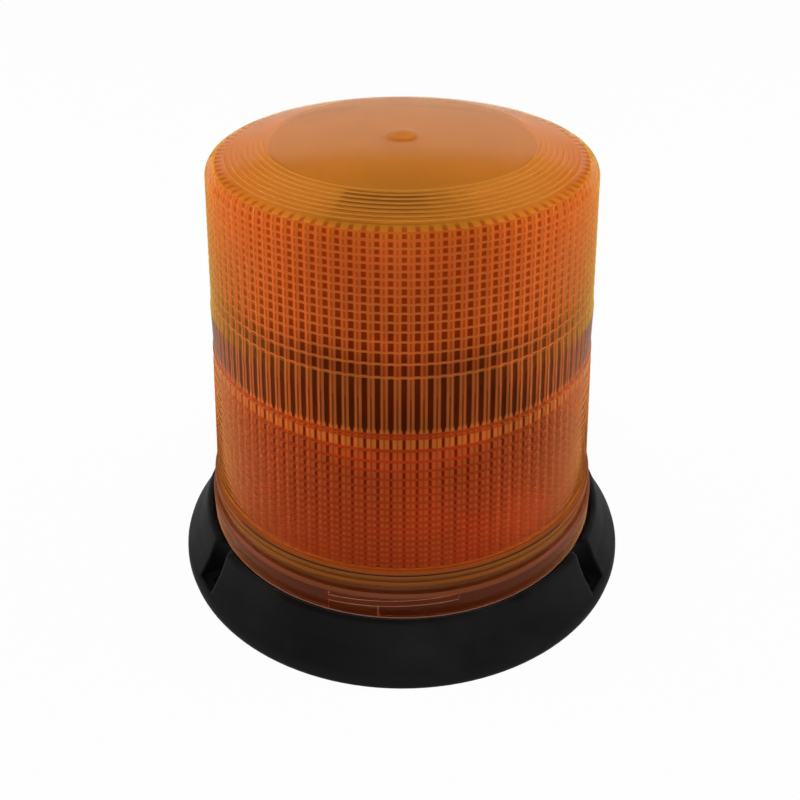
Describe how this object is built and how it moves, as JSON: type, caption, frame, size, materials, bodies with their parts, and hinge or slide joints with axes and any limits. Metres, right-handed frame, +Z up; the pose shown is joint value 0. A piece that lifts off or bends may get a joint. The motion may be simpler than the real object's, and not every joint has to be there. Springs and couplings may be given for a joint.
{
  "type": "rotating beacon",
  "caption": "Amber rotating warning beacon: fluted prismatic dome on a bayonet base with a flanged foot, and inside it a motor-driven reflector turning round a lamp.",
  "frame": {"origin": "centre of the foot's underside, on the dome's axis", "axes": "+Z up along the dome's axis, -Y towards the front of the picture, +X to its right"},
  "size_m": [0.165, 0.165, 0.1569],
  "materials": {
    "amber_lens": "amber clear polycarbonate, gloss, fluted and prismatic",
    "base_black": "satin black thermoplastic with a fine grain",
    "bush_brass": "sintered bronze",
    "capacitor_plastic": "dipped",
    "filament_metal": "bare tungsten",
    "gear_nylon": "natural acetal",
    "holder_ceramic": "unglazed steatite",
    "lamp_glass": "clear quartz",
    "lamp_metal": "nickel plated",
    "lead_sleeve": "silicone sleeve",
    "motor_plastic": "moulded",
    "motor_steel": "plated can",
    "pillar_plastic": "glass filled nylon",
    "pinion_brass": "machined",
    "reflector_mirror": "vacuum metallised",
    "rubber_black": "matte",
    "rubber_grey": "matte",
    "screw_steel": "zinc plated",
    "shaft_steel": "ground",
    "spring_steel": "bright",
    "standoff_aluminium": "turned",
    "terminal_brass": "plated",
    "terminal_plastic": "polyamide",
    "washer_nylon": "natural nylon",
    "weight_iron": "plated",
    "zinc_steel": "zinc plated sheet"
  },
  "bodies": {
    "base": {"mounting_base": "base_black", "mounting_gasket": "rubber_black", "chassis_plate": "zinc_steel", "chassis_screws": "screw_steel", "cable_grommet": "rubber_black", "breather_plug": "rubber_grey", "lamp_pillar": "pillar_plastic", "pillar_screws": "screw_steel", "thrust_washer": "washer_nylon", "retaining_ring": "spring_steel", "lamp_holder": "holder_ceramic", "bulb_base": "lamp_metal", "bulb_glass": "lamp_glass", "filament": "filament_metal", "lamp_clip": "spring_steel", "lamp_lead": "lead_sleeve", "motor_end_cap": "motor_plastic", "motor_case": "motor_steel", "motor_screws": "screw_steel", "motor_bracket": "zinc_steel", "bracket_standoffs": "standoff_aluminium", "bracket_screws": "screw_steel", "idler_axle": "shaft_steel", "idler_clip": "spring_steel", "terminal_block": "terminal_plastic", "terminal_screws": "terminal_brass", "suppression_capacitor": "capacitor_plastic"},
    "rotor": {"rotor_gear": "gear_nylon", "rotor_bush": "bush_brass", "reflector_bracket": "zinc_steel", "turntable_screws": "screw_steel", "reflector": "reflector_mirror", "reflector_screws": "screw_steel", "counterweight": "weight_iron"},
    "idler": {"idler_gear": "gear_nylon"},
    "armature": {"motor_shaft": "shaft_steel", "drive_pinion": "pinion_brass"},
    "seal": {"lens_seal": "rubber_grey"},
    "lens": {"lens_dome": "amber_lens"}
  },
  "joints": [
    {"name": "rotor_spin", "type": "hinge", "parent": "base", "child": "rotor", "pos_m": [0, 0, 0.055], "axis": [0, 0, 1], "continuous": true},
    {"name": "idler_spin", "type": "hinge", "parent": "base", "child": "idler", "pos_m": [-0.03118, 0.018, 0.05], "axis": [0, 0, 1], "continuous": true},
    {"name": "motor_spin", "type": "hinge", "parent": "base", "child": "armature", "pos_m": [-0.03556, -0.0056, 0.045], "axis": [0, 0, 1], "continuous": true},
    {"name": "lens_lift", "type": "slide", "parent": "base", "child": "seal", "axis": [0, 0, 1], "range_m": [0, 0.00119]},
    {"name": "lens_twist", "type": "hinge", "parent": "seal", "child": "lens", "pos_m": [0, 0, 0.031], "axis": [0, 0, 1], "range_deg": [0, 21.2]}
  ],
  "couplings": [
    {"joint": "idler_spin", "follows": "rotor_spin", "ratio": -5},
    {"joint": "motor_spin", "follows": "rotor_spin", "ratio": 15},
    {"joint": "lens_lift", "follows": "lens_twist", "m_per_rad": 0.0031513}
  ]
}
